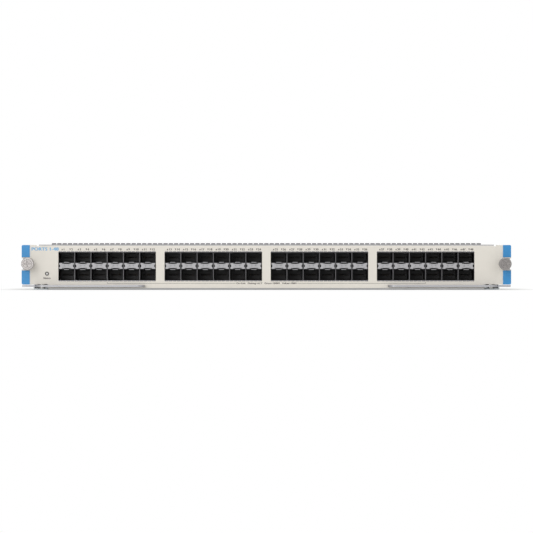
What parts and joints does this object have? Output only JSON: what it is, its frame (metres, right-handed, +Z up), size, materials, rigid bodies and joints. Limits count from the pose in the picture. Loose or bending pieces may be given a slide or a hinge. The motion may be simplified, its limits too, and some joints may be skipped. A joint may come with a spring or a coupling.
{
  "type": "switch line card",
  "caption": "Full-width line card for a network chassis: steel panel with stacked optical ports, swing ejectors, captive thumbscrews and an open board tray.",
  "frame": {"origin": "middle of the card's width and depth, on the underside of its tray", "axes": "+X across the card to the right seen from the front, +Y from the panel towards the backplane, +Z up"},
  "size_m": [0.4292, 0.362, 0.0408],
  "materials": {
    "panel_coating": "fine powder coat",
    "end_band": "satin",
    "spring_strip": "bright spring temper",
    "zinc_steel": "zinc plated",
    "cage_sheet": "plain rolled",
    "spacer_sheet": "plain rolled",
    "lever_steel": "nickel plated",
    "knob_metal": "nickel plated, fine knurl",
    "nickel_metal": "nickel plated",
    "guide_metal": "die cast",
    "board_laminate": "solder mask",
    "insulation_film": "matt film",
    "chip_package": "moulded",
    "converter_case": "black anodised",
    "inductor_case": "pressed powder",
    "capacitor_case": "moulded",
    "sink_metal": "extruded",
    "connector_plastic": "moulded",
    "clear_moulding": "clear moulded",
    "lamp_package": "moulded"
  },
  "bodies": {
    "card": {"board_standoffs": "nickel_metal", "bulk_capacitors": "capacitor_case", "carrier_tray": "zinc_steel", "ear_brackets": "zinc_steel", "front_panel": "panel_coating", "guide_sockets": "guide_metal", "heat_sinks": "sink_metal", "insulation_sheet": "insulation_film", "left_end_overlay": "end_band", "lever_pivots": "nickel_metal", "light_guides_1": "clear_moulding", "light_guides_2": "clear_moulding", "light_guides_3": "clear_moulding", "light_guides_4": "clear_moulding", "main_board": "board_laminate", "memory_chips": "chip_package", "port_cage_1": "cage_sheet", "port_cage_2": "cage_sheet", "port_cage_3": "cage_sheet", "port_cage_4": "cage_sheet", "port_connectors_1": "connector_plastic", "port_connectors_2": "connector_plastic", "port_connectors_3": "connector_plastic", "port_connectors_4": "connector_plastic", "port_interface_chips": "chip_package", "port_spacers_1": "spacer_sheet", "port_spacers_2": "spacer_sheet", "port_spacers_3": "spacer_sheet", "port_spacers_4": "spacer_sheet", "power_connector": "connector_plastic", "power_converters": "converter_case", "power_inductors": "inductor_case", "rear_stiffener": "sink_metal", "right_end_overlay": "end_band", "screw_ferrules": "nickel_metal", "signal_connectors": "connector_plastic", "status_lamp": "lamp_package", "status_light_pipe": "clear_moulding", "switch_chips": "chip_package", "top_gasket_strip": "spring_strip"},
    "left_lever": {"left_ejector_lever": "lever_steel"},
    "left_thrust": {"left_thrust_washer": "nickel_metal", "left_screw_spring": "spring_strip"},
    "left_thumbscrew": {"left_thumb_knob": "knob_metal", "left_captive_screw": "knob_metal"},
    "right_lever": {"right_ejector_lever": "lever_steel"},
    "right_thrust": {"right_thrust_washer": "nickel_metal", "right_screw_spring": "spring_strip"},
    "right_thumbscrew": {"right_thumb_knob": "knob_metal", "right_captive_screw": "knob_metal"}
  },
  "joints": [
    {"name": "left_lever_swing", "type": "hinge", "parent": "card", "child": "left_lever", "pos_m": [-0.197, -0.163, 0.00323], "axis": [0, 0, -1], "range_deg": [0, 75]},
    {"name": "left_screw_push", "type": "slide", "parent": "card", "child": "left_thrust", "axis": [0, 1, 0], "range_m": [0, 0.004], "stiffness_N_per_m": 500, "springref_m": -0.003, "deforming": ["left_screw_spring"]},
    {"name": "left_screw_turn", "type": "hinge", "parent": "left_thrust", "child": "left_thumbscrew", "pos_m": [-0.2091, -0.169, 0.0226], "axis": [0, 1, 0], "continuous": true},
    {"name": "right_lever_swing", "type": "hinge", "parent": "card", "child": "right_lever", "pos_m": [0.197, -0.163, 0.00323], "axis": [0, 0, 1], "range_deg": [0, 75]},
    {"name": "right_screw_push", "type": "slide", "parent": "card", "child": "right_thrust", "axis": [0, 1, 0], "range_m": [0, 0.004], "stiffness_N_per_m": 500, "springref_m": -0.003, "deforming": ["right_screw_spring"]},
    {"name": "right_screw_turn", "type": "hinge", "parent": "right_thrust", "child": "right_thumbscrew", "pos_m": [0.2091, -0.169, 0.0226], "axis": [0, 1, 0], "continuous": true}
  ]
}
